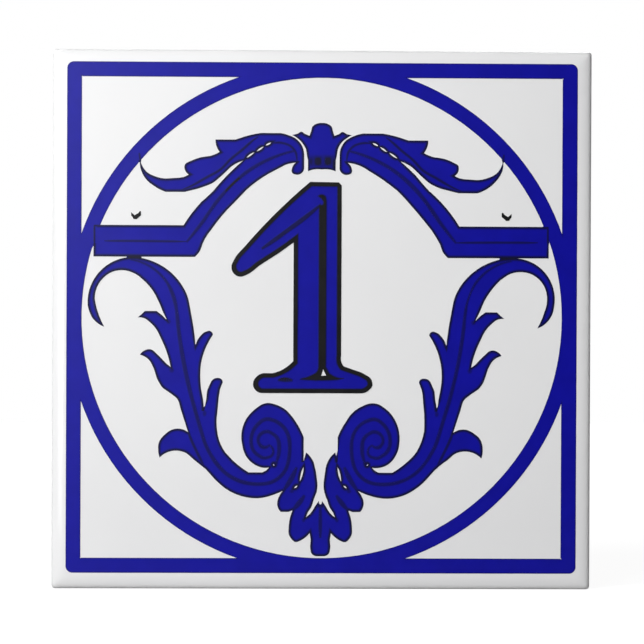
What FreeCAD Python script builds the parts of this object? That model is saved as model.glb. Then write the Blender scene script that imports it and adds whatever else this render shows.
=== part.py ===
import FreeCAD, Part
import os
from math import asin, cos, hypot, pi, sin, sqrt

import Sketcher
from FreeCAD import Vector

# House number plaque: one pressed, glazed wall tile with a fired print on its face.
# The tile stands upright, its face towards -Y and its top towards +Z.
# The origin is the middle of its flat back. All sizes are in millimetres.

doc = FreeCAD.newDocument("house_number_plaque")

# Driving sizes

SIZES = {
    # the pressed tile
    "tile_side": 152.0,
    "tile_depth": 6.4,
    "tile_corner": 1.2,
    "cushion_width": 3.4,
    "cushion_radius": 10.5,
    "edge_radius": 0.9,
    # the keyed back
    "back_border": 8.0,
    "key_count": 6,
    "key_rib": 3.0,
    "key_depth": 0.6,
    # the print: how far it stands above the tile's middle, and its coats of colour
    "print_rise": 0.5,
    "blue_coat": 0.05,
    "black_coat": 0.05,
    # the square frame and the ring that touches it
    "frame_margin": 4.0,
    "frame_band": 4.05,
    "frame_corner": 1.9,
    "frame_inner_corner": 0.3,
    "ring_margin": 0.15,
    "ring_band": 4.1,
    # the ornament's axis stands a little to the left of the frame's
    "axis_shift": -0.25,
    "vein_line": 0.62,
    "lobe_line": 0.94,
    # the number and the black line along its edge
    "number_height": 59.6,
    "number_foot": -21.2,
    "number_line": 1.15,
    "flag_line": 0.75,
    "foot_line": 1.05,
}

sheet = doc.addObject("Spreadsheet::Sheet", "Sizes")
for row, (name, value) in enumerate(SIZES.items(), start=1):
    sheet.set(f"A{row}", name)
    sheet.set(f"B{row}", str(value))
    sheet.setAlias(f"B{row}", name)
doc.recompute()


def size(name):
    """The size of this name, as the sheet holds it."""
    return float(sheet.get(name))


# Outlines, as pairs of x and z in millimetres.
# Each row is one smooth stretch, or a straight one if it has one point. It starts where the row
# before it ends, so the last point of each row is a corner. The first row is the starting corner.
# The ornament's x is counted from its own axis, and only its left half is drawn.

# The inside radius of the ring that the ornament's points are drawn for
DRAWN_RING = 67.75
# The height that the number's points are drawn for, and the line that they stand on
DRAWN_NUMBER = 59.6
NUMBER_FOOT = -21.2

# Leaf, arch, slanting band and level bar of one upper scroll
UPPER_SCROLL = [
    [(-51.2, 44.9)],
    [(-50.9, 41.4), (-47.5, 37.2), (-44.0, 35.4)],
    [(-38.6, 35.4)],
    [(-35.0, 36.3), (-31.0, 37.8), (-27.7, 40.5), (-24.8, 43.1), (-22.2, 44.3)],
    [(-26.8, 40.0), (-30.4, 35.9), (-33.9, 32.6), (-38.9, 26.0)],
    [(-64.2, 26.0)],
    [(-64.2, 17.1)],
    [(-35.7, 17.1)],
    [(-34.2, 18.9), (-33.5, 20.9), (-31.1, 24.8), (-24.8, 32.3), (-21.2, 36.1), (-13.2, 41.6),
     (-10.2, 43.2), (-7.3, 43.8)],
    [(-8.4, 42.3), (-8.4, 41.0), (-7.2, 40.4), (-5.0, 42.1)],
    [(-5.0, 46.2)],
    [(-6.9, 50.2), (-9.1, 51.4), (-11.6, 52.1)],
    [(-17.2, 52.1)],
    [(-21.4, 51.2), (-24.4, 50.2)],
    [(-30.0, 50.2)],
    [(-29.6, 48.0), (-28.8, 46.7)],
    [(-31.0, 45.7), (-34.0, 45.2), (-37.0, 44.1), (-38.6, 43.0), (-38.6, 41.7), (-37.5, 40.3)],
    [(-38.9, 39.6), (-41.4, 39.3), (-45.4, 39.3), (-50.2, 42.0), (-51.2, 44.9)],
]
# White dashes that part the leaf's end from the arch: ends and width
SCROLL_DASHES = [
    ((-21.3, 45.1), (-19.0, 46.7), 0.45),
    ((-18.4, 46.9), (-16.4, 48.3), 0.45),
    ((-15.9, 48.6), (-14.3, 49.4), 0.45),
]
# Left half of the crest between the two arches
CREST = [
    [(0.0, 55.0)],
    [(-1.5, 54.8), (-2.7, 54.0), (-3.0, 52.9), (-3.5, 51.4)],
    [(-4.8, 51.9), (-5.8, 52.5), (-6.8, 52.0), (-8.4, 51.6)],
    [(-6.8, 50.6), (-4.5, 47.7), (-4.2, 45.8), (-3.9, 44.5)],
    [(-3.9, 41.4)],
    [(-2.2, 41.9), (0.0, 41.9)],
]
# Left half of the lower ornament: pendant, blade, volute, stem with its barbs, and tendril
LOWER_ORNAMENT = [
    [(0.0, -52.8)],
    [(-0.35, -52.8)],
    [(-0.45, -51.6)],
    [(-1.5, -53.1), (-2.7, -55.0), (-4.1, -56.2)],
    [(-3.6, -54.9), (-2.6, -53.4), (-1.9, -51.3), (-1.1, -49.1), (-1.3, -43.4), (-1.9, -40.8),
     (-4.1, -37.9)],
    [(-4.5, -39.4), (-4.8, -40.7)],
    [(-4.8, -33.6)],
    [(-7.3, -28.9), (-9.5, -26.2), (-12.0, -24.7), (-14.5, -24.0), (-19.5, -26.6), (-22.2, -35.5),
     (-21.2, -38.8), (-16.7, -42.2), (-14.5, -42.2)],
    [(-15.3, -43.0), (-16.4, -43.6)],
    [(-20.3, -43.6)],
    [(-24.7, -40.3), (-26.8, -38.1), (-29.2, -31.9), (-29.2, -26.9), (-28.8, -22.5), (-28.4, -20.0),
     (-27.7, -18.2)],
    [(-28.2, -17.2), (-29.3, -17.0), (-31.9, -20.1), (-32.3, -22.9), (-32.9, -26.3)],
    [(-33.2, -23.1), (-33.8, -20.0), (-33.8, -12.8), (-30.5, -4.8)],
    [(-31.2, -3.8), (-32.6, -4.0), (-34.3, -5.5), (-35.4, -8.0)],
    [(-36.5, 0.2), (-38.4, 7.6), (-48.6, 16.2), (-52.7, 17.0), (-65.8, 3.4), (-64.6, 0.0),
     (-61.1, -2.7)],
    [(-63.1, 2.0), (-63.8, 5.2), (-58.9, 12.8), (-53.4, 12.7), (-50.6, 10.9), (-46.0, 4.8),
     (-44.8, 2.0), (-43.5, -0.7)],
    [(-44.8, 0.6), (-46.4, 1.8)],
    [(-49.7, 1.8)],
    [(-50.7, 0.8), (-51.7, 0.0)],
    [(-50.0, -0.2), (-48.0, -1.6), (-44.3, -7.7), (-42.4, -13.9)],
    [(-43.6, -13.0), (-45.3, -11.2), (-48.9, -9.0), (-51.0, -10.5)],
    [(-49.0, -11.5), (-47.2, -14.2), (-46.3, -17.0), (-44.9, -19.5), (-42.5, -21.3), (-40.4, -23.1),
     (-39.5, -25.8), (-37.4, -32.3)],
    [(-41.6, -31.5), (-43.5, -32.6), (-45.4, -34.7), (-45.8, -37.2), (-45.4, -39.5)],
    [(-38.6, -37.9), (-35.7, -40.1), (-32.4, -42.7), (-29.8, -45.6), (-26.8, -48.2), (-17.7, -50.9),
     (-13.6, -50.0), (-10.5, -48.7)],
    [(-11.8, -50.6), (-12.2, -52.6), (-11.2, -54.7)],
    [(-9.0, -54.7)],
    [(-7.8, -54.2)],
    [(-8.9, -58.6), (-8.7, -61.5), (-7.2, -63.2)],
    [(-6.5, -63.2)],
    [(-4.6, -62.2), (-3.0, -60.7)],
    [(-2.7, -62.5), (-2.8, -65.0), (-2.3, -66.6), (-1.1, -67.2)],
    [(0.0, -67.2)],
]
LOWER_DASHES = [
    ((-4.8, -42.0), (-5.8, -46.1), 0.55),
    ((-6.5, -47.3), (-7.4, -48.0), 0.40),
    ((-12.9, -41.4), (-13.4, -41.4), 0.50),
]

# Veins, from root to tip: slanting band; tendril, stem, foot and volute; the volute's inside
VEINS = [
    [(-37.9, 21.4), (-33.2, 27.4), (-30.0, 32.1), (-21.4, 40.9), (-7.8, 47.1)],
    [(-53.5, 16.3), (-43.5, 9.9), (-40.8, 2.2), (-40.3, -2.5), (-35.0, -27.6), (-30.9, -38.8),
     (-27.5, -43.2), (-20.4, -46.7), (-11.6, -45.0), (-8.7, -36.4), (-9.2, -33.0), (-12.8, -29.1),
     (-15.5, -28.6), (-17.9, -30.2), (-19.4, -32.9), (-18.0, -38.5), (-15.4, -39.5),
     (-13.5, -38.4), (-14.6, -35.9)],
    [(-12.6, -40.9), (-11.8, -38.4), (-13.2, -32.9), (-15.4, -32.1), (-17.4, -35.4),
     (-16.2, -36.5), (-14.8, -36.2)],
]
# Lines between the pendant's lobes
LOBE_LINES = [
    [(-6.8, -42.3), (-7.9, -44.7), (-10.4, -48.6)],
    [(-4.6, -50.2), (-5.7, -51.8), (-7.7, -54.1)],
]
PENDANT_LINE = [(0.0, -52.6), (0.0, -57.0), (0.0, -61.8)]
# The two dark patches in the crest's foot, each from its top
CREST_PATCHES = [
    [[(-1.1, 45.3)], [(-1.9, 44.2), (-1.1, 43.1)], [(-0.3, 44.2), (-1.1, 45.3)]],
    [[(1.7, 45.3)], [(0.9, 44.2), (1.7, 43.1)], [(2.5, 44.2), (1.7, 45.3)]],
]
# A small tick beside each bar's end
TICK_OUTLINE = [
    [(-53.65, 29.6)],
    [(-53.2, 29.2)],
    [(-52.65, 28.75)],
    [(-51.6, 29.4)],
    [(-51.25, 29.95)],
    [(-50.9, 29.85)],
    [(-50.85, 28.75)],
    [(-51.6, 28.15)],
    [(-52.1, 27.65)],
    [(-53.0, 27.7)],
    [(-53.2, 28.15)],
    [(-53.65, 28.65)],
    [(-53.65, 29.6)],
]
# Black line that joins each bar to the tendril under it: left, right, foot and top
BAR_LINK = (-54.5, -50.7, 16.7, 17.2)

# The number 1, its x counted from the frame's middle and its z from the print's
NUMBER = [
    [(-3.5, 38.4)],
    [(4.6, 38.3)],
    [(5.4, 37.4)],
    [(5.4, -10.6)],
    [(5.5, -12.4), (6.2, -13.6)],
    [(8.5, -14.4), (11.9, -15.7), (13.9, -17.2), (14.3, -18.8), (13.1, -20.5), (10.9, -21.2)],
    [(-16.7, -21.2)],
    [(-19.4, -18.7), (-18.6, -16.8), (-16.6, -15.6)],
    [(-13.9, -15.6)],
    [(-10.8, -14.4), (-8.1, -12.2)],
    [(-8.1, 21.3)],
    [(-12.4, 18.2), (-17.8, 14.7), (-20.6, 12.5), (-22.6, 11.6)],
    [(-24.7, 12.2), (-25.6, 14.2), (-24.7, 16.7), (-21.8, 20.2), (-6.3, 36.0), (-3.5, 38.4)],
]
# Black stripe down the number's stem, with a hook at its top, which spreads over its foot
NUMBER_STRIPE = [
    [(-1.1, 34.4)],
    [(0.0, 34.7), (0.8, 34.2)],
    [(1.05, 33.0)],
    [(1.05, -13.0)],
    [(1.3, -14.8), (3.2, -16.4), (6.3, -17.1)],
    [(0.0, -17.5), (-6.2, -17.2)],
    [(-3.0, -16.3), (-1.2, -15.0), (-0.85, -13.4)],
    [(-0.85, 31.6)],
    [(0.2, 31.9)],
    [(0.3, 33.0), (-0.3, 33.8), (-1.1, 34.4)],
]
# White gap where the stripe spreads
NUMBER_GAP = [
    [(0.35, -14.4)],
    [(1.2, -16.2)],
    [(-0.2, -16.3)],
    [(0.35, -14.4)],
]
# Dark line up the number's flag, and a dark patch at the left of its foot
NUMBER_FLAG_LINE = [(-0.6, 31.9), (-4.3, 28.8), (-9.8, 24.7), (-13.3, 22.1), (-16.9, 19.6)]
NUMBER_FOOT_LINE = [(-12.2, -17.5), (-10.3, -17.4), (-8.4, -17.6)]

# Curves

# An arc that leaves its chord by less than this is a straight line
LEAST_BOW = 0.05
# Two arcs that meet at less than this many radians look smooth
LEAST_TURN = 0.13
# Two directions whose spread is less than this are one
SAME_WAY = 1e-9


def turned(way, mirror):
    """A direction reflected in another."""
    return mirror * (2 * way.dot(mirror)) - way


def directions(points):
    """The way a smooth curve runs at each point: that of the circle through it and its neighbours."""
    chords = [after - before for before, after in zip(points, points[1:])]
    units = [Vector(chord).normalize() for chord in chords]
    ways = []
    for i in range(1, len(chords)):
        way = units[i - 1] * chords[i].Length + units[i] * chords[i - 1].Length
        ways.append(way.normalize())
    return [turned(ways[0], units[0])] + ways + [turned(ways[-1], units[-1])]


def arc_from(start, way, end):
    """The arc, or the line, that leaves the start along a direction and reaches the end."""
    chord = end - start
    unit = Vector(chord).normalize()
    along = way.dot(unit)
    bow = (way - unit * along) * (chord.Length / (2 * (1 + along)))
    if bow.Length < LEAST_BOW:
        return Part.makeLine(start, end)
    return Part.Arc(start, start + chord / 2 + bow, end).toShape()


def smooth_edges(points):
    """A smooth chain of arcs through these points: one between each pair, or two where one can't turn
    enough."""
    ways = directions(points)
    made = []
    for start, leave, end, arrive in zip(points, ways, points[1:], ways[1:]):
        chord = end - start
        if turned(leave, Vector(chord).normalize()).getAngle(arrive) < LEAST_TURN:
            made.append(arc_from(start, leave, end))
            continue
        spread = 2 * (1 - leave.dot(arrive))
        onward = chord.dot(leave + arrive)
        if spread < SAME_WAY:
            reach = chord.dot(chord) / (2 * onward)
        else:
            reach = (sqrt(onward**2 + spread * chord.dot(chord)) - onward) / spread
        middle = (start + end + (leave - arrive) * reach) / 2
        made.append(arc_from(start, leave, middle))
        made.append(arc_from(end, -arrive, middle))
    return made


def mirrored(rows):
    """The rows of an outline followed the other way round, with x changed in sign."""
    points = [[rows[0][-1]]]
    for before, row in zip(rows, rows[1:]):
        points.append([before[-1]] + row)
    flipped = [[(-x, z) for x, z in reversed(stretch)] for stretch in reversed(points[1:])]
    return [flipped[0][:1]] + [stretch[1:] for stretch in flipped]


def whole(half):
    """A closed outline from its left half, which starts and ends on the axis."""
    return half + mirrored(half)[1:]


class Layer:
    """A coat of colour: where its outlines go on the tile's face, and its two levels."""

    def __init__(self, scale, shift_x, shift_z, front, coat):
        self.scale = scale
        self.shift = (shift_x, shift_z)
        self.front = front
        self.coat = coat

    def at(self, point):
        """A drawn point on the coat's lower level."""
        x, z = point
        return Vector(self.scale * x + self.shift[0], -self.front, self.scale * z + self.shift[1])

    def edges(self, rows):
        """The edges of an outline."""
        made = []
        start = rows[0][0]
        for row in rows[1:]:
            points = [self.at(p) for p in [start] + row]
            if len(points) == 2:
                made.append(Part.makeLine(*points))
            else:
                made.extend(smooth_edges(points))
            start = row[-1]
        return made

    def face(self, rows, holes=()):
        """The flat face inside an outline, less its holes."""
        wires = [Part.Wire(self.edges(outline)) for outline in [rows, *holes]]
        if not holes:
            return Part.Face(wires[0])
        return Part.Face(wires[0]).cut([Part.Face(wire) for wire in wires[1:]])

    def solids(self, faces):
        """The coat over these faces, joined where they meet."""
        face = faces[0].fuse(faces[1:]).removeSplitter() if len(faces) > 1 else faces[0]
        return [part.extrude(Vector(0, -self.coat, 0)) for part in face.Faces]


def both_sides(rows):
    """An outline and its mirror image."""
    return [rows, mirrored(rows)]


# The width of a line's tips as a share of its middle's
TIP_SHARE = 0.3


def ribbon(points, width):
    """The outline of a line drawn along these points, full in its middle and finer at its ends."""
    count = len(points)
    left = []
    right = []
    for i, (x, z) in enumerate(points):
        before = points[max(i - 1, 0)]
        after = points[min(i + 1, count - 1)]
        along = hypot(after[0] - before[0], after[1] - before[1])
        run_x = (after[0] - before[0]) / along
        run_z = (after[1] - before[1]) / along
        fullness = min(1, 2 * sin(pi * i / (count - 1))) if count > 2 else 1
        half = 0.5 * width * (TIP_SHARE + (1 - TIP_SHARE) * fullness)
        left.append((x - half * run_z, z + half * run_x))
        right.append((x + half * run_z, z - half * run_x))
    return [[left[0]], left[1:], [right[-1]], right[-2::-1], [left[0]]]


def inset(rows, gap):
    """A closed outline, followed clockwise, moved inwards by a gap."""
    loop = [point for row in rows[1:] for point in row]
    moved = []
    for before, (x, z), after in zip(loop[-1:] + loop, loop, loop[1:] + loop[:1]):
        come = hypot(x - before[0], z - before[1])
        go = hypot(after[0] - x, after[1] - z)
        come_x, come_z = (z - before[1]) / come, (before[0] - x) / come
        go_x, go_z = (after[1] - z) / go, (x - after[0]) / go
        reach = gap / (1 + come_x * go_x + come_z * go_z)
        moved.append((x + reach * (come_x + go_x), z + reach * (come_z + go_z)))
    inside = [[moved[-1]]]
    for row in rows[1:]:
        inside.append([moved.pop(0) for _ in row])
    return inside


def dash(start, end, width):
    """The outline of a short white dash: a lens between two points."""
    run_x = end[0] - start[0]
    run_z = end[1] - start[1]
    along = hypot(run_x, run_z)
    middle_x = (start[0] + end[0]) / 2
    middle_z = (start[1] + end[1]) / 2
    off_x = -run_z / along * width / 2
    off_z = run_x / along * width / 2
    return [
        [start],
        [(middle_x + off_x, middle_z + off_z), end],
        [(middle_x - off_x, middle_z - off_z), start],
    ]


# Tile

# How far a cut reaches past the surface that it starts from
CUT_REACH = 2.0


def origin_part(body, role):
    """One of a body's own origin planes or axes."""
    return next(part for part in body.Origin.OriginFeatures if part.Role == role)


def bind(sketch, constraint, expression):
    """Adds a constraint whose value follows an expression."""
    index = sketch.addConstraint(Sketcher.Constraint(*constraint))
    sketch.setExpression(f"Constraints[{index}]", expression)


def add_rounded_square(sketch, side, corner, centre=None):
    """Draws a square with round corners and binds it to two expressions.

    Its middle is at the sketch's origin, or at the pair of expressions in centre.
    """
    first = sketch.GeometryCount
    half = 10.0
    radius = 1.0
    reach = half - radius
    lines = [
        ((-reach, -half), (reach, -half)),
        ((half, -reach), (half, reach)),
        ((reach, half), (-reach, half)),
        ((-half, reach), (-half, -reach)),
    ]
    corners = [(reach, -reach), (reach, reach), (-reach, reach), (-reach, -reach)]
    for side_number, (start, end) in enumerate(lines):
        sketch.addGeometry(Part.LineSegment(Vector(*start, 0), Vector(*end, 0)), False)
        circle = Part.Circle(Vector(*corners[side_number], 0), Vector(0, 0, 1), radius)
        turn = (side_number - 1) * pi / 2
        sketch.addGeometry(Part.ArcOfCircle(circle, turn, turn + pi / 2), False)
    for line in range(0, 8, 2):
        arc = first + line + 1
        after = first + (line + 2) % 8
        sketch.addConstraint(Sketcher.Constraint("Tangent", first + line, 2, arc, 1))
        sketch.addConstraint(Sketcher.Constraint("Tangent", arc, 2, after, 1))
        if line:
            sketch.addConstraint(Sketcher.Constraint("Equal", first + 1, arc))
    sketch.addConstraint(Sketcher.Constraint("Horizontal", first))
    sketch.addConstraint(Sketcher.Constraint("Horizontal", first + 4))
    sketch.addConstraint(Sketcher.Constraint("Vertical", first + 2))
    sketch.addConstraint(Sketcher.Constraint("Vertical", first + 6))
    bind(sketch, ("Radius", first + 1, radius), corner)
    middle_x, middle_y = centre or ("0", "0")
    bounds = [
        ("DistanceY", first, f"({middle_y}) - ({side}) / 2", -half),
        ("DistanceX", first + 2, f"({middle_x}) + ({side}) / 2", half),
        ("DistanceY", first + 4, f"({middle_y}) + ({side}) / 2", half),
        ("DistanceX", first + 6, f"({middle_x}) - ({side}) / 2", -half),
    ]
    for kind, line, expression, value in bounds:
        bind(sketch, (kind, line, 1, value), expression)


def add_sketch(body, name, plane):
    """A sketch on one of the body's own origin planes."""
    sketch = body.newObject("Sketcher::SketchObject", name)
    sketch.AttachmentSupport = [(origin_part(body, plane), "")]
    sketch.MapMode = "FlatFace"
    return sketch


def add_square(sketch, side, centre):
    """Draws a square with sharp corners and binds it to expressions for its side and middle."""
    half = 10.0
    corners = [Vector(x, y, 0) for x, y in ((-half, -half), (half, -half), (half, half), (-half, half))]
    lines = [
        sketch.addGeometry(Part.LineSegment(start, end), False)
        for start, end in zip(corners, corners[1:] + corners[:1])
    ]
    for line, after in zip(lines, lines[1:] + lines[:1]):
        sketch.addConstraint(Sketcher.Constraint("Coincident", line, 2, after, 1))
    for line, way in zip(lines, ("Horizontal", "Vertical", "Horizontal", "Vertical")):
        sketch.addConstraint(Sketcher.Constraint(way, line))
    for sign, line in ((-1, lines[0]), (1, lines[2])):
        for axis, middle in (("DistanceX", centre[0]), ("DistanceY", centre[1])):
            bind(sketch, (axis, line, 1, sign * half), f"{middle} + {sign} * {side} / 2")


def draw_cushion_waste(sketch):
    """Draws what is cut from the top side's edge: in this sketch x is the depth and y the height."""
    half = size("tile_side") / 2
    face = -size("tile_depth")
    wide = size("cushion_radius")
    tight = size("edge_radius")
    start = half - size("cushion_width")
    turn = asin((half - start - tight) / (wide - tight))
    wide_middle = Vector(face + wide, start, 0)
    tight_middle = wide_middle + Vector(-cos(turn), sin(turn), 0) * (wide - tight)
    side_end = tight_middle.x
    upright = Vector(0, 0, 1)
    fall = sketch.addGeometry(
        Part.ArcOfCircle(Part.Circle(wide_middle, upright, wide), pi - turn, pi), False)
    edge = sketch.addGeometry(
        Part.ArcOfCircle(Part.Circle(tight_middle, upright, tight), pi / 2, pi - turn), False)
    corners = [
        Vector(face, start, 0),
        Vector(face - CUT_REACH, start, 0),
        Vector(face - CUT_REACH, half + CUT_REACH, 0),
        Vector(side_end, half + CUT_REACH, 0),
        Vector(side_end, half, 0),
    ]
    lines = [
        sketch.addGeometry(Part.LineSegment(a, b), False) for a, b in zip(corners, corners[1:])
    ]
    sketch.addConstraint(Sketcher.Constraint("Tangent", edge, 2, fall, 1))
    sketch.addConstraint(Sketcher.Constraint("Coincident", fall, 2, lines[0], 1))
    for line, after in zip(lines, lines[1:]):
        sketch.addConstraint(Sketcher.Constraint("Coincident", line, 2, after, 1))
    sketch.addConstraint(Sketcher.Constraint("Coincident", lines[-1], 2, edge, 1))
    for line, way in zip(lines, ("Horizontal", "Vertical", "Horizontal", "Vertical")):
        sketch.addConstraint(Sketcher.Constraint(way, line))
    sketch.addConstraint(Sketcher.Constraint("Horizontal", fall, 3, fall, 2))
    sketch.addConstraint(Sketcher.Constraint("Vertical", edge, 3, edge, 1))
    bounds = [
        (("Radius", fall, wide), "Sizes.cushion_radius"),
        (("Radius", edge, tight), "Sizes.edge_radius"),
        (("DistanceX", fall, 2, face), "-Sizes.tile_depth"),
        (("DistanceY", fall, 2, start), "Sizes.tile_side / 2 - Sizes.cushion_width"),
        (("DistanceY", edge, 1, half), "Sizes.tile_side / 2"),
        (("DistanceX", lines[1], 1, face - CUT_REACH), f"-Sizes.tile_depth - {CUT_REACH}"),
        (("DistanceY", lines[1], 2, half + CUT_REACH), f"Sizes.tile_side / 2 + {CUT_REACH}"),
    ]
    for constraint, expression in bounds:
        bind(sketch, constraint, expression)


def build_tile():
    """The pressed tile: a slab with cushioned edges and a back keyed for its adhesive."""
    body = doc.addObject("PartDesign::Body", "tile")
    body.Label = "tile"

    outline = add_sketch(body, "tile_outline", "XZ_Plane")
    add_rounded_square(outline, "Sizes.tile_side", "Sizes.tile_corner")
    slab = body.newObject("PartDesign::Pad", "slab")
    slab.Profile = outline
    slab.setExpression("Length", "Sizes.tile_depth")
    doc.recompute()

    # The face falls away along each side in a wide shallow arc, then turns tightly to the side
    waste = add_sketch(body, "cushion_waste", "YZ_Plane")
    draw_cushion_waste(waste)
    cushion = body.newObject("PartDesign::Pocket", "cushion")
    cushion.Profile = waste
    cushion.Type = "ThroughAll"
    cushion.SideType = "Symmetric"
    doc.recompute()
    cushions = body.newObject("PartDesign::PolarPattern", "cushions")
    cushions.Originals = [cushion]
    cushions.Axis = (origin_part(body, "Y_Axis"), [""])
    cushions.Angle = 360
    cushions.Occurrences = 4
    body.Tip = cushions
    doc.recompute()

    # Square keys pressed into the back, in a grid that leaves a flat border and ribs
    field = "(Sizes.tile_side - 2 * Sizes.back_border)"
    pitch = f"(({field} + Sizes.key_rib) / Sizes.key_count)"
    key_side = f"({pitch} - Sizes.key_rib)"
    first = f"(({key_side} - {field}) / 2)"
    key = add_sketch(body, "key_outline", "XZ_Plane")
    add_square(key, key_side, (first, first))
    recess = body.newObject("PartDesign::Pocket", "key_recess")
    recess.Profile = key
    recess.Reversed = True
    recess.setExpression("Length", "Sizes.key_depth")
    doc.recompute()
    keys = body.newObject("PartDesign::LinearPattern", "keys")
    keys.Originals = [recess]
    keys.Direction = (key, ["H_Axis"])
    keys.Direction2 = (key, ["V_Axis"])
    keys.Mode = "Extent"
    keys.Mode2 = "Extent"
    for count, length in (("Occurrences", "Length"), ("Occurrences2", "Length2")):
        keys.setExpression(count, "Sizes.key_count")
        keys.setExpression(length, f"{field} - {key_side}")
    body.Tip = keys
    doc.recompute()
    return body


# Print


def build_frame_and_ring():
    """The square frame and the ring inside it, as one coat on the tile's face."""
    body = doc.addObject("PartDesign::Body", "frame_and_ring")
    frame_side = "(Sizes.tile_side - 2 * Sizes.frame_margin)"
    inner_side = f"({frame_side} - 2 * Sizes.frame_band)"

    frame = add_sketch(body, "frame_outline", "XZ_Plane")
    add_rounded_square(frame, frame_side, "Sizes.frame_corner", ("0", "Sizes.print_rise"))
    add_rounded_square(frame, inner_side, "Sizes.frame_inner_corner", ("0", "Sizes.print_rise"))
    ring = add_sketch(body, "ring_outline", "XZ_Plane")
    ring_radius = f"({frame_side} / 2 - Sizes.ring_margin)"
    for radius in (ring_radius, f"({ring_radius} - Sizes.ring_band)"):
        circle = ring.addGeometry(Part.Circle(Vector(0, 0, 0), Vector(0, 0, 1), 1.0), False)
        bind(ring, ("Radius", circle, 1.0), radius)
        bind(ring, ("DistanceX", circle, 3, 0.0), "0")
        bind(ring, ("DistanceY", circle, 3, 0.0), "Sizes.print_rise")
    for name, sketch in (("frame_coat", frame), ("ring_coat", ring)):
        sketch.setExpression("AttachmentOffset.Base.z", "Sizes.tile_depth")
        coat = body.newObject("PartDesign::Pad", name)
        coat.Profile = sketch
        coat.setExpression("Length", "Sizes.blue_coat")
        doc.recompute()
    return body


def ring_inside():
    """The ring's inside radius."""
    outside = size("tile_side") / 2 - size("frame_margin") - size("ring_margin")
    return outside - size("ring_band")


def ornament_layer(front, coat):
    """A coat of the ornament, which is drawn about its own axis and grows with the ring."""
    return Layer(ring_inside() / DRAWN_RING, size("axis_shift"), size("print_rise"), front, coat)


def number_layer(front, coat):
    """A coat of the number, which stands on its foot line."""
    scale = size("number_height") / DRAWN_NUMBER
    foot = size("number_foot") * ring_inside() / DRAWN_RING + size("print_rise")
    return Layer(scale, 0.0, foot - scale * NUMBER_FOOT, front, coat)


def build_blue_ornament():
    """The blue fields of the ornament and the number."""
    ornament = ornament_layer(size("tile_depth"), size("blue_coat"))
    number = number_layer(size("tile_depth"), size("blue_coat"))
    dashes = [dash(*values) for values in SCROLL_DASHES]
    faces = [
        ornament.face(UPPER_SCROLL, dashes),
        ornament.face(mirrored(UPPER_SCROLL), [mirrored(rows) for rows in dashes]),
        ornament.face(whole(CREST)),
    ]
    lower_dashes = [rows for values in LOWER_DASHES for rows in both_sides(dash(*values))]
    faces.append(ornament.face(whole(LOWER_ORNAMENT), lower_dashes))
    solids = ornament.solids(faces) + number.solids([number.face(NUMBER, [NUMBER_GAP])])
    feature = doc.addObject("Part::Feature", "blue_ornament")
    feature.Shape = Part.makeCompound(solids)
    return feature


def build_blue_print(frame, ornament):
    """All the blue, as one coat where its fields meet."""
    blue = doc.addObject("Part::MultiFuse", "blue_print")
    blue.Label = "blue_print"
    blue.Shapes = [frame, ornament]
    blue.Refine = True
    doc.recompute()
    return blue


def build_black_print():
    """The black: the number's edge and stripes, the veins, and the small marks beside the bars."""
    over_blue = size("tile_depth") + size("blue_coat")
    veins = ornament_layer(over_blue, size("black_coat"))
    lines = CREST_PATCHES + [ribbon(PENDANT_LINE, size("vein_line"))]
    for width, drawn in (("vein_line", VEINS), ("lobe_line", LOBE_LINES)):
        for points in drawn:
            lines.extend(both_sides(ribbon(points, size(width))))
    solids = []
    for line in lines:
        solids.extend(veins.solids([veins.face(line)]))

    number = number_layer(over_blue, size("black_coat"))
    edge = number.face(NUMBER, [inset(NUMBER, size("number_line") / number.scale)])
    marks = [
        number.face(ribbon(NUMBER_FLAG_LINE, size("flag_line"))),
        number.face(ribbon(NUMBER_FOOT_LINE, size("foot_line"))),
    ]
    stripe = number.face(NUMBER_STRIPE, [NUMBER_GAP])
    solids.extend(number.solids([edge, stripe, *marks]))

    bare = ornament_layer(size("tile_depth"), size("blue_coat") + size("black_coat"))
    left, right, foot, top = BAR_LINK
    link = [[(left, foot)], [(right, foot)], [(right, top)], [(left, top)], [(left, foot)]]
    for rows in both_sides(TICK_OUTLINE) + both_sides(link):
        solids.extend(bare.solids([bare.face(rows)]))
    black = doc.addObject("Part::Feature", "black_print")
    black.Label = "black_print"
    black.Shape = Part.makeCompound(solids)
    return black


# Build, check and write

tile = build_tile()
blue_print = build_blue_print(build_frame_and_ring(), build_blue_ornament())
black_print = build_black_print()
doc.recompute()

for item in doc.Objects:
    if "Invalid" in item.State or "Error" in item.State:
        raise RuntimeError(f"{item.Label} failed: {item.State}")

os.makedirs("parts", exist_ok=True)
for node in (tile, blue_print, black_print):
    if node.Shape.isNull() or not node.Shape.isValid():
        raise RuntimeError(f"{node.Label} has no valid shape")
    node.Shape.exportStep(f"parts/{node.Label}.step")
    print(node.Label, len(node.Shape.Solids), "solids", round(node.Shape.Volume, 2), "mm3")
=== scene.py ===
import math

import bpy
from mathutils import Matrix, Vector


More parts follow.
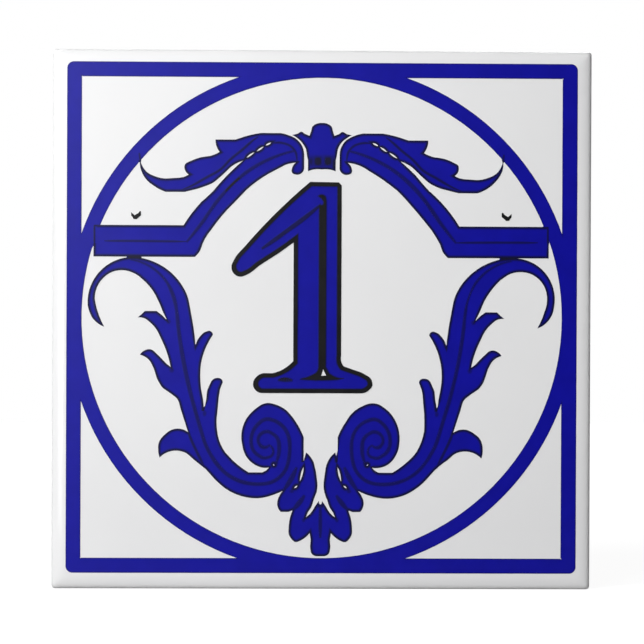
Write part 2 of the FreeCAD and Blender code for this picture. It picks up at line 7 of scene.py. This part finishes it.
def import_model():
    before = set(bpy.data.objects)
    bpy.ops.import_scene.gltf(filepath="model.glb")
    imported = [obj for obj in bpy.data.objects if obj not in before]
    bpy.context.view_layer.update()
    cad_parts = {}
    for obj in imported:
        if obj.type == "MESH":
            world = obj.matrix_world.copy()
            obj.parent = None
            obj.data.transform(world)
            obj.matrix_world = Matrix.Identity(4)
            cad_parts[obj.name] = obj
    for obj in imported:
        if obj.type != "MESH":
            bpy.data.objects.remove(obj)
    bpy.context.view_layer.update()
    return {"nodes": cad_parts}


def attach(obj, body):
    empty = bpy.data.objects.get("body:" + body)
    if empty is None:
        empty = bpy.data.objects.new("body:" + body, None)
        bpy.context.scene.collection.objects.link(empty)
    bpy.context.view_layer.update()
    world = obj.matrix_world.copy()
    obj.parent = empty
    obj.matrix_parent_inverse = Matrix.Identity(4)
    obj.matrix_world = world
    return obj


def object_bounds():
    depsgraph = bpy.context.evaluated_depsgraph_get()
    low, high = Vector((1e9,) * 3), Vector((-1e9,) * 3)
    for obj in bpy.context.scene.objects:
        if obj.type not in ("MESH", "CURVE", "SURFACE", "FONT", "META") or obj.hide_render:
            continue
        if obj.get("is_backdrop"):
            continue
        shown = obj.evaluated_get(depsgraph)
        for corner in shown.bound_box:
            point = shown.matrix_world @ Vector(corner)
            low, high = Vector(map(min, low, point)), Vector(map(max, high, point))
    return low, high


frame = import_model()

MM = 0.001
PRINT_CENTRE_Z = 0.5      # mm, height of the printed square's centre
ORNAMENT_AXIS_X = -0.25   # mm, axis that the ornament is mirrored about
FRAME_EDGES = (72.0, 67.95)   # mm, half sides of the square frame, outside and inside
RING_EDGES = (71.85, 67.75)   # mm, radii of the ring, outside and inside
EDGE_CATCH = 0.2          # mm, how near an edge lies to the ring or frame to count as theirs
FRAME_SPREAD = (0.1, 0.24, 0.17, 0.15)   # mm, print beyond the coat: left, right, bottom and top

# The fronts of the two coats, then how far each layer of ink stands before the blue one, in mm
BLUE_TOP_Y = -6.45
BLACK_TOP_Y = -6.5
BORDER_LAYER = 0.004
HALO_LAYER = 0.005
CONTOUR_LAYER = 0.006
DRAWN_LAYER = 0.007
CREST_LAYER = 0.008
DARK_LIFT = 0.008         # how far full ink stands before none


# Materials

WAVE_SCALE = 90.0         # of the faint waves that every glaze has
WAVE_DETAIL = 2.0
WHITE_WAVE = 0.00001      # m, height of the waves
PRINT_WAVE = 0.00002
CUSHION_MELT = 0.0022     # m, how far the glaze softens the tile's edges
GLAZE_LINE_Y = (-0.0022, -0.0018)   # m, where the glaze gives way to the bare back
FRONT_ROUGHNESS = 0.3
BACK_ROUGHNESS = 0.85
FRONT_COAT = 0.6
PRINT_GLOSS = (0.3, 0.08, 0.25)   # roughness, coat and specular level of the printed glazes


def new_material(name):
    material = bpy.data.materials.new(name)
    material.use_nodes = True
    nodes = material.node_tree.nodes
    nodes.clear()
    output = nodes.new("ShaderNodeOutputMaterial")
    shader = nodes.new("ShaderNodeBsdfPrincipled")
    material.node_tree.links.new(shader.outputs[0], output.inputs[0])
    return material, nodes, material.node_tree.links, shader


def place(nodes):
    return nodes.new("ShaderNodeTexCoord").outputs["Object"]


def noise(nodes, links, scale, detail=3.0):
    node = nodes.new("ShaderNodeTexNoise")
    node.inputs["Scale"].default_value = scale
    node.inputs["Detail"].default_value = detail
    links.new(place(nodes), node.inputs["Vector"])
    return node.outputs["Fac"]


def spread(nodes, links, value, low, high, out_low=0.0, out_high=1.0):
    node = nodes.new("ShaderNodeMapRange")
    node.inputs["From Min"].default_value = low
    node.inputs["From Max"].default_value = high
    node.inputs["To Min"].default_value = out_low
    node.inputs["To Max"].default_value = out_high
    links.new(value, node.inputs["Value"])
    return node.outputs["Result"]


def mix(nodes, links, factor, first, second):
    node = nodes.new("ShaderNodeMix")
    node.data_type = "RGBA"
    links.new(factor, node.inputs["Factor"])
    for socket, value in ((node.inputs["A"], first), (node.inputs["B"], second)):
        if isinstance(value, tuple):
            socket.default_value = (*value, 1.0)
        else:
            links.new(value, socket)
    return node.outputs["Result"]


def waves(nodes, links, shader, height, soften=0.0):
    """Faint waves in the gloss, over edges that are softened by a length in metres."""
    bump = nodes.new("ShaderNodeBump")
    if soften:
        melt = nodes.new("ShaderNodeBevel")
        melt.samples = 8
        melt.inputs["Radius"].default_value = soften
        links.new(melt.outputs[0], bump.inputs["Normal"])
    bump.inputs["Distance"].default_value = height
    bump.inputs["Strength"].default_value = 1.0
    links.new(noise(nodes, links, WAVE_SCALE, WAVE_DETAIL), bump.inputs["Height"])
    links.new(bump.outputs[0], shader.inputs["Normal"])
    links.new(bump.outputs[0], shader.inputs["Coat Normal"])


def gloss(shader, roughness, coat, shine=0.5):
    shader.inputs["Roughness"].default_value = roughness
    shader.inputs["Specular IOR Level"].default_value = shine
    shader.inputs["IOR"].default_value = 1.5
    shader.inputs["Coat Weight"].default_value = coat
    shader.inputs["Coat Roughness"].default_value = 0.05


def white_glaze():
    """White gloss in front and on the sides, bare bisque on the back."""
    material, nodes, links, shader = new_material("white_glaze")
    cloud = spread(nodes, links, noise(nodes, links, 22.0), 0.35, 0.65)
    glaze = mix(nodes, links, cloud, (0.83, 0.83, 0.835), (0.85, 0.85, 0.853))
    axes = nodes.new("ShaderNodeSeparateXYZ")
    links.new(place(nodes), axes.inputs[0])
    back = spread(nodes, links, axes.outputs["Y"], *GLAZE_LINE_Y)
    grain = spread(nodes, links, noise(nodes, links, 700.0, 5.0), 0.3, 0.7)
    bisque = mix(nodes, links, grain, (0.62, 0.56, 0.50), (0.72, 0.67, 0.61))
    links.new(mix(nodes, links, back, glaze, bisque), shader.inputs["Base Color"])
    gloss(shader, FRONT_ROUGHNESS, 0.0)
    roughness = spread(nodes, links, back, 0.0, 1.0, FRONT_ROUGHNESS, BACK_ROUGHNESS)
    links.new(roughness, shader.inputs["Roughness"])
    links.new(spread(nodes, links, back, 0.0, 1.0, FRONT_COAT, 0.0), shader.inputs["Coat Weight"])
    waves(nodes, links, shader, WHITE_WAVE, CUSHION_MELT)
    return material


def blue_glaze():
    """The blue coat, darkened by the share of ink that a mesh gives as its attribute."""
    material, nodes, links, shader = new_material("blue_glaze")
    pool = spread(nodes, links, noise(nodes, links, 160.0), 0.35, 0.65)
    blue = mix(nodes, links, pool, (0.0012, 0.0012, 0.28), (0.0018, 0.0018, 0.318))
    ink = nodes.new("ShaderNodeAttribute")
    ink.attribute_name = "ink"
    inked = mix(nodes, links, ink.outputs["Fac"], blue, (0.002, 0.002, 0.028))
    links.new(inked, shader.inputs["Base Color"])
    gloss(shader, *PRINT_GLOSS)
    waves(nodes, links, shader, PRINT_WAVE)
    return material


def line_glaze(name, dark, pale):
    """A coat of one dark colour under the gloss, a little uneven in its depth."""
    material, nodes, links, shader = new_material(name)
    pool = spread(nodes, links, noise(nodes, links, 200.0), 0.35, 0.65)
    links.new(mix(nodes, links, pool, dark, pale), shader.inputs["Base Color"])
    gloss(shader, *PRINT_GLOSS)
    waves(nodes, links, shader, PRINT_WAVE)
    return material


def paint(obj, *materials):
    obj.data.materials.clear()
    for material in materials:
        obj.data.materials.append(material)


# Drawn lines and patches on the blue, each vertex with its share of dark ink

class Ink:
    def __init__(self, layer, rise=0.0):
        self.y, self.rise, self.points, self.shares, self.faces = BLUE_TOP_Y - layer, rise, [], [], []

    def point(self, x, z, share):
        """The darker a point is, the farther it stands forward, so that the dark shows where pieces cross."""
        self.points.append((x * MM, (self.y - DARK_LIFT * share) * MM, (z + self.rise) * MM))
        self.shares.append(share)
        return len(self.points) - 1

    def piece(self, name, material):
        mesh = bpy.data.meshes.new(name)
        mesh.from_pydata(self.points, [], self.faces)
        ink = mesh.attributes.new("ink", "FLOAT", "POINT")
        for k, share in enumerate(self.shares):
            ink.data[k].value = share
        mesh.materials.append(material)
        obj = bpy.data.objects.new(name, mesh)
        bpy.context.scene.collection.objects.link(obj)
        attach(obj, "root")


def top_outlines(node, top_y):
    """Directed edges (mm) round a flat coat's front faces, the coat on their left as the front is seen."""
    mesh = node.data
    corner = [tuple(round(c / MM, 3) for c in v.co) for v in mesh.vertices]
    edges = {}
    for face in mesh.polygons:
        ring = [corner[k] for k in face.vertices]
        if any(abs(y - top_y) > 0.01 for _, y, _ in ring):
            continue
        if face.normal.y > -0.5:
            continue
        flat = [(x, z) for x, _, z in ring]
        for a, b in zip(flat, flat[1:] + flat[:1]):
            if (b, a) in edges:
                del edges[(b, a)]
            else:
                edges[(a, b)] = True
    return list(edges)


def chains(edges):
    """The directed edges as closed rows of points."""
    after = {}
    for a, b in edges:
        after.setdefault(a, []).append(b)
    rows = []
    while after:
        start = next(iter(after))
        row, at = [start], start
        while True:
            onward = after.get(at)
            if not onward:
                break
            nxt = onward.pop()
            if not onward:
                del after[at]
            if nxt == start:
                break
            row.append(nxt)
            at = nxt
        rows.append(row)
    return rows


def on_border(x, z):
    """True for a point on an edge of the square frame or of the ring."""
    z -= PRINT_CENTRE_Z
    reach = max(abs(x), abs(z))
    far = math.hypot(x, z)
    corner = min(abs(x), abs(z)) > FRAME_EDGES[1]
    return corner or any(abs(reach - edge) < EDGE_CATCH for edge in FRAME_EDGES) or any(
        abs(far - edge) < EDGE_CATCH for edge in RING_EDGES
    )


def frame_spread(a, b):
    """How far (mm) the print runs beyond the coat at the square frame's inner edges, 0 at any other."""
    sides = ((0, 0.0, *FRAME_SPREAD[:2]), (1, PRINT_CENTRE_Z, *FRAME_SPREAD[2:]))
    for axis, rise, low, high in sides:
        at, to = a[axis] - rise, b[axis] - rise
        if abs(at - to) < 0.01 and abs(abs(at) - FRAME_EDGES[1]) < 0.02:
            return high if at > 0 else low
    return 0.0


def inside(rows, x, z):
    """True if the point is within the area that the closed rows bound."""
    crossings = 0
    for row in rows:
        for (ax, az), (bx, bz) in zip(row, row[1:] + row[:1]):
            if (az > z) != (bz > z) and x < ax + (z - az) * (bx - ax) / (bz - az):
                crossings += 1
    return crossings % 2 == 1


class Outline:
    """The edges of closed rows in square cells, to find how near the other side is."""
    CELL = 3.2       # mm
    OWN_EDGE = 0.03  # mm, nearer than this an edge is the point's own

    def __init__(self, rows):
        self.cells = {}
        for row in rows:
            for a, b in zip(row, row[1:] + row[:1]):
                count = 1 + int(math.dist(a, b) / (0.5 * self.CELL))
                for k in range(count + 1):
                    cell = tuple(int((s + (e - s) * k / count) // self.CELL) for s, e in zip(a, b))
                    self.cells.setdefault(cell, set()).add((a, b))

    def room(self, x, z, along, reach):
        """How far a step along goes from an edge point before it meets another edge, reach at most."""
        column, row = int(x // self.CELL), int(z // self.CELL)
        for cell in ((column + i, row + j) for i in (-1, 0, 1) for j in (-1, 0, 1)):
            for (ax, az), (bx, bz) in self.cells.get(cell, ()):
                edge_x, edge_z = bx - ax, bz - az
                turn = along.x * edge_z - along.y * edge_x
                if abs(turn) < 1e-9:
                    continue
                far = ((ax - x) * edge_z - (az - z) * edge_x) / turn
                share = ((ax - x) * along.y - (az - z) * along.x) / turn
                if self.OWN_EDGE < far < reach and 0.0 <= share <= 1.0:
                    reach = far
        return reach


def share_at(steps, part):
    """The ink's share at a part of a ribbon's width."""
    for (s0, share0), (s1, share1) in zip(steps, steps[1:]):
        if part <= s1:
            return share0 + (share1 - share0) * (part - s0) / (s1 - s0)
    return steps[-1][1]


def inward_turns(row):
    """At each point of a closed row, the step to its left that keeps a ribbon's width even."""
    count = len(row)
    turns = []
    for k in range(count):
        (ax, az), (bx, bz), (cx, cz) = row[k - 1], row[k], row[(k + 1) % count]
        first, second = Vector((bx - ax, bz - az)), Vector((cx - bx, cz - bz))
        if first.length < 1e-6 or second.length < 1e-6:
            first = second = first if first.length > second.length else second
        first.normalize()
        second.normalize()
        along = first + second
        if along.length < 0.3:
            along = second.copy()
        along.normalize()
        inward = Vector((-along.y, along.x))
        cos_half = max(0.5, inward.dot(Vector((-second.y, second.x))))
        turns.append(inward / cos_half)
    return turns


def edging(ink, outline, row, width, steps, wanted):
    """A ribbon beside a closed row, on its left for a positive width, where wanted(start, end, off) is true.

    With an outline it ends half-way to the other side, where that is nearer than its width."""
    count = len(row)
    turns = inward_turns(row)
    made = {}

    def line(k):
        k %= count
        if k not in made:
            x, z = row[k]
            off = turns[k]
            limit = 1.0
            if outline:
                span = off.length * width
                limit = outline.room(x, z, off.normalized(), 2 * span) / (2 * span)
            parts = [min(s, limit) for s, _ in steps]
            made[k] = [
                ink.point(x + off.x * width * part, z + off.y * width * part, share_at(steps, part))
                for part in parts
            ]
        return made[k]

    for k in range(count):
        if not wanted(row[k], row[(k + 1) % count], turns[k]):
            continue
        here, there = line(k), line(k + 1)
        for s in range(len(steps) - 1):
            ink.faces.append((here[s], there[s], there[s + 1], here[s + 1]))


# Ribbons: width in mm, then the ink's share at parts of the width
CONTOUR = (0.95, ((0.0, 1.0), (0.45, 0.92), (1.0, 0.0)))
BORDER = (0.5, ((0.0, 0.45), (0.4, 0.4), (1.0, 0.0)))
NUMBER_INSIDE = (1.55, ((0.0, 1.0), (0.72, 1.0), (1.0, 0.0)))
HALO_WIDTH = 0.42
NUMBER_HALO = ((0.0, 1.0), (0.2, 0.8), (1.0, 0.0))
VEIN_HALO = ((0.0, 0.75), (0.4, 0.45), (1.0, 0.0))


def frame_edging(ink, row):
    """The square frame's inner edges with their soft border, as far beyond the coat as the print runs."""
    width, steps = BORDER
    for a, b in zip(row, row[1:] + row[:1]):
        beyond = frame_spread(a, b)
        if not beyond:
            continue
        inward = Vector((a[1] - b[1], b[0] - a[0])).normalized()
        strip = []
        for step, share in steps:
            off = inward * (step * width - beyond)
            strip.append([ink.point(x + off.x, z + off.y, share) for x, z in (a, b)])
        for (a0, b0), (a1, b1) in zip(strip, strip[1:]):
            ink.faces.append((a0, b0, b1, a1))


SMOOTH_STEPS = 6     # points from one drawn point to the next
VEIN_STEPS = ((-1, 0), (-0.35, 1), (0.35, 1), (1, 0))   # parts of the half width, and the ink's share
VEIN_END = 0.35      # a vein's width at its ends, as a share of the full one
VEIN_TAPER = 5       # each end thins over the length divided by this


def smooth(points):
    """Catmull-Rom points through a listed row."""
    ends = [points[0], *points, points[-1]]
    out = []
    for k in range(1, len(ends) - 2):
        p0, p1, p2, p3 = (Vector(p) for p in ends[k - 1:k + 3])
        slope = p2 - p0
        bend = 2 * p0 - 5 * p1 + 4 * p2 - p3
        swing = 3 * p1 - p0 - 3 * p2 + p3
        for s in range(SMOOTH_STEPS):
            t = s / SMOOTH_STEPS
            out.append(0.5 * (2 * p1 + slope * t + bend * t * t + swing * t ** 3))
    out.append(Vector(points[-1]))
    return out


def vein(ink, points, width, strength):
    """A soft line through the points, thin at both ends, and its mirror image."""
    row = smooth(points)
    count = len(row)
    for hand in (1, -1):
        rows = []
        for k, at in enumerate(row):
            along = row[min(k + 1, count - 1)] - row[max(k - 1, 0)]
            along.normalize()
            side = Vector((-along.y, along.x))
            part = k / (count - 1)
            full = min(1.0, VEIN_TAPER * part, VEIN_TAPER * (1 - part))
            half = width * (VEIN_END + (1 - VEIN_END) * full)
            rows.append([
                ink.point(
                    hand * (at.x + side.x * half * s) + ORNAMENT_AXIS_X,
                    at.y + side.y * half * s,
                    share * strength,
                )
                for s, share in VEIN_STEPS
            ])
        for here, there in zip(rows, rows[1:]):
            for s in range(len(VEIN_STEPS) - 1):
                quad = (here[s], there[s], there[s + 1], here[s + 1])
                ink.faces.append(quad if hand == -1 else quad[::-1])


SPOT_SIDES = 20
SPOT_RINGS = ((0.5, 0.8), (1.0, 0.0))   # share of the size, and of the ink


def spot(ink, x, z, half_x, half_z, strength):
    """A soft dark oval."""
    centre = ink.point(x, z, strength)
    rings = []
    for size, share in SPOT_RINGS:
        ring = []
        for k in range(SPOT_SIDES):
            turn = 2 * math.pi * k / SPOT_SIDES
            across, up = math.cos(turn) * half_x * size, math.sin(turn) * half_z * size
            ring.append(ink.point(x + across, z + up, share * strength))
        rings.append(ring)
    for k in range(SPOT_SIDES):
        nxt = (k + 1) % SPOT_SIDES
        ink.faces.append((centre, rings[0][k], rings[0][nxt]))
        ink.faces.append((rings[0][k], rings[1][k], rings[1][nxt], rings[0][nxt]))


# What is drawn from listed points. Veins on one side, in mm from the ornament's axis and the print's middle
LEAF_VEIN = [
    (-39.8, 35.8), (-36.3, 37.3), (-32.3, 39.6), (-28.6, 41.7),
    (-25.8, 44.6), (-22.5, 47.3), (-19.7, 49.8), (-18.0, 51.0),
]
ARCH_VEIN = [(-14.3, 49.2), (-11.8, 49.4), (-9.1, 48.6), (-7.4, 46.7), (-7.0, 44.2)]
BAR_LINE = [(-61.2, 21.5), (-50.0, 21.5), (-37.9, 21.4)]
STEM_VEIN = [(-37.3, -32.5), (-35.8, -36.0), (-32.7, -42.3)]
BAR_END = [(-63.95, 26.0), (-63.95, 23.3), (-63.95, 20.6)]
BAR_CORNER = [(-64.2, 25.75), (-63.3, 25.75), (-62.4, 25.75)]
LEAF_TIP = [(-51.2, 44.3), (-51.3, 45.3), (-51.45, 46.4)]
# points, half width and strength
VEINS = (
    (LEAF_VEIN, 0.55, 0.85),
    (ARCH_VEIN, 0.5, 0.8),
    (BAR_LINE, 0.5, 0.8),
    (STEM_VEIN, 0.6, 0.8),
    (BAR_END, 0.42, 0.9),
    (BAR_CORNER, 0.42, 0.9),
    (LEAF_TIP, 0.4, 0.8),
)
# middle x and z, half width, half height, strength
SPOTS = [
    (-43.3, -1.1, 0.9, 0.9, 0.6),
    (-42.3, -14.8, 0.9, 1.0, 0.6),
    (-33.0, -27.0, 0.7, 1.1, 0.6),
    (-35.7, -8.4, 0.7, 0.9, 0.5),
    (-12.8, -40.9, 0.8, 0.8, 0.9),
    (-4.95, -56.95, 0.7, 0.9, 0.6),
    (-8.3, -48.9, 0.9, 0.7, 0.6),
]
# the dark band at the crest's foot: left, right, foot and top
CREST_FOOT = (-4.0, 3.5, 42.0, 46.6)
CREST_GRID = (30, 20)   # cells across and up
CREST_FADE = 0.8        # mm under the band's top over which its ink fades out
# its clouds: middle x and z, spread across and up, strength
CREST_CLOUDS = [
    (-1.35, 44.2, 1.15, 1.3, 1.4),
    (1.5, 44.3, 1.15, 1.3, 1.4),
    (3.35, 43.2, 0.75, 2.6, 1.2),
    (-3.4, 44.1, 0.9, 1.4, 0.9),
    (0.0, 43.0, 4.5, 2.0, 0.45),
]
CLOUD_FALL = 0.9        # how fast a cloud's ink falls with the distance

# Where the kinds of black line lie, in mm
NUMBER_REACH = (-27.0, 16.0, -22.0, 40.0)   # left, right, foot and top of the number
FLAG_LINE = ((-17.5, 19.1), (-1.4, 31.2))   # ends of the soft line in the number's flag
FLAG_HALF = 1.0
FLAG_BEHIND = -0.5      # how far before its first end the soft line may start
FOOT_PATCH = (-12.6, -8.0, -18.0, -17.0)    # left, right, foot and top of the patch in the serif
BAR_MARKS = (50, 55)    # distance from the axis between which ticks and links lie
TICKS_FOOT = 20
LINKS_FOOT = 16.9
CREST_HALF = 4
CREST_PATCHES = (42, 48)   # foot and top
NUMBER, VEIN, MARK, SOFT_LINE = range(4)    # the black print's material slots


def within(x, z, reach):
    left, right, foot, top = reach
    return left < x < right and foot < z < top


def line_kind(x, z):
    """Which slot a face of the black print takes."""
    if within(x, z, NUMBER_REACH):
        (ax, az), (bx, bz) = FLAG_LINE
        along = Vector((bx - ax, bz - az)).normalized()
        off = Vector((x - ax, z - az))
        beside = abs(along.x * off.y - along.y * off.x)
        flag = beside < FLAG_HALF and off.dot(along) > FLAG_BEHIND and x < bx
        return SOFT_LINE if flag or within(x, z, FOOT_PATCH) else NUMBER
    beside_bar = BAR_MARKS[0] < abs(x - ORNAMENT_AXIS_X) < BAR_MARKS[1]
    if beside_bar and z > TICKS_FOOT:
        return NUMBER
    crest_patch = abs(x) < CREST_HALF and CREST_PATCHES[0] < z < CREST_PATCHES[1]
    return MARK if crest_patch or beside_bar and z > LINKS_FOOT else VEIN


def cloud_ink(x, z, cloud):
    at, level, across, up, strength = cloud
    far = (((x - at) / across) ** 4 + ((z - level) / up) ** 4) ** 0.5
    return min(1.0, strength * math.exp(-far * CLOUD_FALL))


def crest_foot(ink):
    """A grid over the crest's foot, its ink the strongest of the clouds that drift over it."""
    left, right, foot, top = CREST_FOOT
    wide, high = CREST_GRID
    for row in range(high + 1):
        for column in range(wide + 1):
            x = left + (right - left) * column / wide
            z = foot + (top - foot) * row / high
            share = max(cloud_ink(x, z, cloud) for cloud in CREST_CLOUDS)
            ink.point(x, z, share * min(1.0, (top - z) / CREST_FADE))
    for row in range(high):
        for column in range(wide):
            k = row * (wide + 1) + column
            ink.faces.append((k, k + 1, k + wide + 2, k + wide + 1))


blue = blue_glaze()
paint(frame["nodes"]["tile"], white_glaze())
paint(frame["nodes"]["blue_print"], blue)
black = frame["nodes"]["black_print"]
paint(
    black,
    line_glaze("number_black", (0.003, 0.003, 0.004), (0.007, 0.007, 0.008)),
    line_glaze("vein_navy", (0.0015, 0.0015, 0.1), (0.002, 0.002, 0.12)),
    line_glaze("mark_black", (0.003, 0.003, 0.02), (0.004, 0.004, 0.03)),
    line_glaze("soft_line", (0.003, 0.003, 0.06), (0.003, 0.003, 0.085)),
)
for face in black.data.polygons:
    face.material_index = line_kind(face.center.x / MM, face.center.z / MM)

blue_rows = chains(top_outlines(frame["nodes"]["blue_print"], BLUE_TOP_Y))
black_rows = chains(top_outlines(frame["nodes"]["black_print"], BLACK_TOP_Y))
blue_outline = Outline(blue_rows)


def whole(a, b, off):
    return True


def of_border(a, b, off):
    return on_border(*a) and on_border(*b) and not frame_spread(a, b)


def of_ornament(a, b, off):
    return not (on_border(*a) and on_border(*b))


def on_blue(a, b, off):
    """True where a halo lies on the blue, so that none is painted over the white."""
    return all(inside(blue_rows, x - off.x * HALO_WIDTH, z - off.y * HALO_WIDTH) for x, z in (a, b))


borders = Ink(BORDER_LAYER)
halos = Ink(HALO_LAYER)
contours = Ink(CONTOUR_LAYER)
drawn = Ink(DRAWN_LAYER, PRINT_CENTRE_Z)
crest = Ink(CREST_LAYER, PRINT_CENTRE_Z)
for row in blue_rows:
    if within(*row[0], NUMBER_REACH):
        edging(contours, blue_outline, row, *NUMBER_INSIDE, whole)
    else:
        edging(borders, blue_outline, row, *BORDER, of_border)
        frame_edging(borders, row)
        edging(contours, blue_outline, row, *CONTOUR, of_ornament)
for row in black_rows:
    steps = NUMBER_HALO if line_kind(*row[0]) == NUMBER else VEIN_HALO
    edging(halos, None, row, -HALO_WIDTH, steps, on_blue)
crest_foot(crest)
for points, width, strength in VEINS:
    vein(drawn, points, width, strength)
for x, z, half_x, half_z, strength in SPOTS:
    spot(drawn, x, z, half_x, half_z, strength)
    spot(drawn, 2 * ORNAMENT_AXIS_X - x, z, half_x, half_z, strength)
borders.piece("border_edges", blue)
halos.piece("soft_edges", blue)
crest.piece("crest_foot", blue)
contours.piece("contours", blue)
drawn.piece("veins", blue)


# Floor, light and camera

FLOOR_GLOW = 0.86   # what the camera sees of the floor where no lamp reaches it, with 1 as white
FLOOR_NEAR, FLOOR_FAR, FLOOR_SIDE = -0.24, 1.3, 1.2   # m, ends in y, and half its width
# name, place (m), width and height (m), power (W)
LAMPS = (
    ("key", (-0.45, -0.50, 0.38), 0.35, 0.35, 4.9),
    ("card", (-0.36, -1.05, 0.31), 0.5, 0.5, 2.05),
    ("tall", (-0.36, -1.05, 0.10), 0.25, 0.8, 1.75),
    ("slim", (-0.28, -1.05, 0.20), 0.15, 0.6, 1.17),
    ("behind", (0.5, 1.2, 0.8), 0.8, 0.8, 12.0),
)
ROOM_LEVEL = 0.02   # light from all sides
BACKDROP_Y = (0.3, 0.7)   # how far back a mirrored ray looks where the white backdrop begins, and is whole
CAMERA_PLACE = (-0.0269, -1.006, 0.0069)
CAMERA_TURN = (-1.541, -0.430, 0.248)   # degrees, yaw, pitch and roll
CAMERA_LENS = 198.17


def floor():
    material, nodes, links, shader = new_material("floor")
    cloud = spread(nodes, links, noise(nodes, links, 3.0), 0.3, 0.7)
    links.new(mix(nodes, links, cloud, (0.28, 0.28, 0.28), (0.30, 0.30, 0.30)), shader.inputs["Base Color"])
    shader.inputs["Roughness"].default_value = 0.9
    shader.inputs["Specular IOR Level"].default_value = 0.0
    shader.inputs["Emission Color"].default_value = (1, 1, 1, 1)
    seen = nodes.new("ShaderNodeLightPath")
    glow = spread(nodes, links, seen.outputs["Is Camera Ray"], 0.0, 1.0, 0.0, FLOOR_GLOW)
    links.new(glow, shader.inputs["Emission Strength"])
    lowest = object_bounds()[0][2]
    near, far, side = FLOOR_NEAR, FLOOR_FAR, FLOOR_SIDE
    corners = [(-side, near, lowest), (side, near, lowest), (side, far, lowest), (-side, far, lowest)]
    mesh = bpy.data.meshes.new("floor")
    mesh.from_pydata(corners, [], [(0, 1, 2, 3)])
    mesh.materials.append(material)
    obj = bpy.data.objects.new("floor", mesh)
    bpy.context.scene.collection.objects.link(obj)
    obj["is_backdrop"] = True


def lamp(name, at, wide, tall, power):
    """A soft oval lamp that looks at the tile's middle."""
    data = bpy.data.lights.new(name, "AREA")
    data.shape = "ELLIPSE"
    data.size, data.size_y = wide, tall
    data.energy = power
    obj = bpy.data.objects.new(name, data)
    obj.location = at
    obj.rotation_euler = (-Vector(at)).to_track_quat("-Z", "Y").to_euler()
    bpy.context.scene.collection.objects.link(obj)


def combine(nodes, links, operation, first, second):
    node = nodes.new("ShaderNodeMath")
    node.operation = operation
    links.new(first, node.inputs[0])
    links.new(second, node.inputs[1])
    return node.outputs[0]


def background(nodes, level):
    node = nodes.new("ShaderNodeBackground")
    node.inputs["Color"].default_value = (1, 1, 1, 1)
    node.inputs["Strength"].default_value = level
    return node.outputs[0]


def world():
    """White to the camera, and behind the object to mirrored and transmitted rays. Dim to all others."""
    scene_world = bpy.data.worlds.new("room")
    scene_world.use_nodes = True
    nodes, links = scene_world.node_tree.nodes, scene_world.node_tree.links
    nodes.clear()
    path = nodes.new("ShaderNodeLightPath")
    axes = nodes.new("ShaderNodeSeparateXYZ")
    links.new(nodes.new("ShaderNodeTexCoord").outputs["Generated"], axes.inputs[0])
    behind = spread(nodes, links, axes.outputs["Y"], *BACKDROP_Y)
    either = combine(
        nodes, links, "MAXIMUM", path.outputs["Is Glossy Ray"], path.outputs["Is Transmission Ray"]
    )
    mirrored = combine(nodes, links, "MULTIPLY", either, behind)
    shown = combine(nodes, links, "MAXIMUM", path.outputs["Is Camera Ray"], mirrored)
    choose = nodes.new("ShaderNodeMixShader")
    output = nodes.new("ShaderNodeOutputWorld")
    links.new(shown, choose.inputs[0])
    links.new(background(nodes, ROOM_LEVEL), choose.inputs[1])
    links.new(background(nodes, 1.0), choose.inputs[2])
    links.new(choose.outputs[0], output.inputs[0])
    bpy.context.scene.world = scene_world


def camera():
    data = bpy.data.cameras.new("camera")
    data.sensor_width = 36.0
    data.lens = CAMERA_LENS
    data.clip_start, data.clip_end = 0.05, 20.0
    yaw, pitch, roll = (math.radians(a) for a in CAMERA_TURN)
    ahead = math.cos(pitch)
    forward = Vector((-math.sin(yaw) * ahead, math.cos(yaw) * ahead, math.sin(pitch)))
    level = Vector((math.cos(yaw), math.sin(yaw), 0))
    upright = level.cross(forward)
    right = level * math.cos(roll) + upright * math.sin(roll)
    up = upright * math.cos(roll) - level * math.sin(roll)
    turn = Matrix((right, up, -forward)).transposed()
    obj = bpy.data.objects.new("camera", data)
    obj.matrix_world = Matrix.Translation(CAMERA_PLACE) @ turn.to_4x4()
    bpy.context.scene.collection.objects.link(obj)
    bpy.context.scene.camera = obj


floor()
for name, at, wide, tall, power in LAMPS:
    lamp(name, at, wide, tall, power)
world()
camera()
bpy.context.scene.view_settings.view_transform = "Standard"
